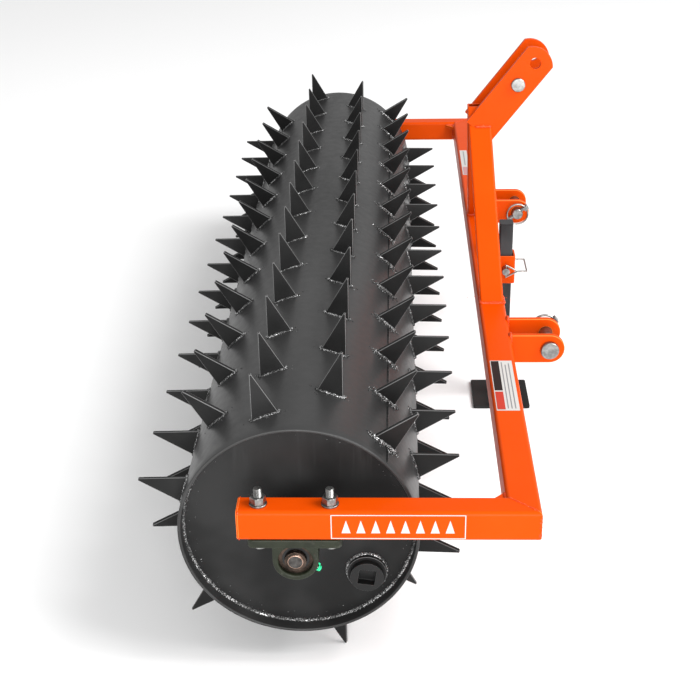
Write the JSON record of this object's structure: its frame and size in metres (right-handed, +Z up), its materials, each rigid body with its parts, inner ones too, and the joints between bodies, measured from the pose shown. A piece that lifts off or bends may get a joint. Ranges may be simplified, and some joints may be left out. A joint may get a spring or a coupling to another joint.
{
  "type": "spike aerator",
  "caption": "Towed drum spike aerator: water-ballast drum with welded spikes, turning in an orange frame with an A-shaped mast, three-point hitch and a parking stand.",
  "frame": {"origin": "on the ground, under the middle of the bounding box", "axes": "+X forward to the tractor, +Y along the drum to its left end, +Z up"},
  "size_m": [0.6406, 1.754, 0.7058],
  "materials": {
    "frame_paint": "bright orange powder coat, slightly glossy",
    "drum_paint": "charcoal powder coat, satin",
    "stand_paint": "dark grey paint, satin",
    "plug_steel": "charcoal paint worn to metal on the rim",
    "shaft_steel": "turned steel, lightly oiled",
    "bearing_casting": "dark olive enamel over sand casting",
    "bearing_steel": "ground bearing steel with a warm tint",
    "seal_rubber": "black nitrile lip seal",
    "cap_plastic": "soft green dust cap",
    "zinc_plate": "bright zinc plate",
    "spring_wire": "drawn spring wire",
    "black_plastic": "moulded black cap"
  },
  "bodies": {
    "frame": {"arm_end_caps": "frame_paint", "bearing_balls": "bearing_steel", "bearing_bolts": "zinc_plate", "bearing_housing_left": "bearing_casting", "bearing_housing_right": "bearing_casting", "bearing_nuts": "zinc_plate", "bearing_races": "bearing_steel", "bearing_seals": "seal_rubber", "bearing_washers": "zinc_plate", "corner_gussets": "frame_paint", "crossbar": "frame_paint", "grease_caps": "cap_plastic", "grease_nipples": "zinc_plate", "inner_ear_left": "frame_paint", "inner_ear_right": "frame_paint", "lock_pin": "zinc_plate", "mast_leg_left": "frame_paint", "mast_leg_right": "frame_paint", "outer_ear_left": "frame_paint", "outer_ear_right": "frame_paint", "side_arm_left": "frame_paint", "side_arm_right": "frame_paint", "stand_foot": "stand_paint", "stand_leg": "stand_paint", "stand_leg_cap": "black_plastic", "stand_sleeve": "frame_paint", "top_link_plate_left": "frame_paint", "top_link_plate_right": "frame_paint"},
    "drum": {"bearing_inner_rings": "bearing_steel", "bearing_set_screws": "bearing_steel", "drum_shell": "drum_paint", "end_plate_left": "drum_paint", "end_plate_right": "drum_paint", "fill_boss": "drum_paint", "hub_discs": "drum_paint", "spike_row_01": "drum_paint", "spike_row_02": "drum_paint", "spike_row_03": "drum_paint", "spike_row_04": "drum_paint", "spike_row_05": "drum_paint", "spike_row_06": "drum_paint", "spike_row_07": "drum_paint", "spike_row_08": "drum_paint", "spike_row_09": "drum_paint", "spike_row_10": "drum_paint", "spike_row_11": "drum_paint", "spike_row_12": "drum_paint", "stub_shaft_left": "shaft_steel", "stub_shaft_right": "shaft_steel"},
    "fill_plug": {"fill_plug": "plug_steel"},
    "lower_pin_left": {"lower_pin_left": "zinc_plate", "lower_linch_pin_left": "zinc_plate"},
    "lower_pin_right": {"lower_pin_right": "zinc_plate", "lower_linch_pin_right": "zinc_plate"},
    "top_pin": {"top_link_pin": "zinc_plate", "top_linch_pin": "zinc_plate"},
    "lower_loop_left": {"lower_linch_loop_left": "spring_wire"},
    "lower_loop_right": {"lower_linch_loop_right": "spring_wire"},
    "top_loop": {"top_linch_loop": "spring_wire"},
    "bail": {"lock_bail": "spring_wire"}
  },
  "joints": [
    {"name": "drum_spin", "type": "hinge", "parent": "frame", "child": "drum", "pos_m": [-0.09471, 0, 0.22558], "axis": [0, 1, 0], "continuous": true},
    {"name": "plug_unscrew", "type": "slide", "parent": "drum", "child": "fill_plug", "axis": [0, -1, 0], "range_m": [0, 0.025]},
    {"name": "lower_pin_turn_left", "type": "hinge", "parent": "frame", "child": "lower_pin_left", "pos_m": [0.29529, 0.32, 0.28208], "axis": [0, 1, 0], "continuous": true},
    {"name": "lower_pin_turn_right", "type": "hinge", "parent": "frame", "child": "lower_pin_right", "pos_m": [0.29529, -0.32, 0.28208], "axis": [0, 1, 0], "continuous": true},
    {"name": "top_pin_turn", "type": "hinge", "parent": "frame", "child": "top_pin", "pos_m": [0.25616, 0, 0.63989], "axis": [0, 1, 0], "continuous": true},
    {"name": "lower_loop_swing_left", "type": "hinge", "parent": "lower_pin_left", "child": "lower_loop_left", "pos_m": [0.312, 0.2695, 0.29561], "axis": [-0.6293, 0, 0.7771], "range_deg": [0, 110]},
    {"name": "lower_loop_swing_right", "type": "hinge", "parent": "lower_pin_right", "child": "lower_loop_right", "pos_m": [0.312, -0.2695, 0.29561], "axis": [0.6293, 0, -0.7771], "range_deg": [0, 110]},
    {"name": "top_loop_swing", "type": "hinge", "parent": "top_pin", "child": "top_loop", "pos_m": [0.27163, 0.0475, 0.65242], "axis": [0.6293, 0, -0.7771], "range_deg": [0, 110]},
    {"name": "bail_swing", "type": "hinge", "parent": "frame", "child": "bail", "pos_m": [0.24829, -0.03, 0.28208], "axis": [0, 0, -1], "range_deg": [0, 100]}
  ]
}
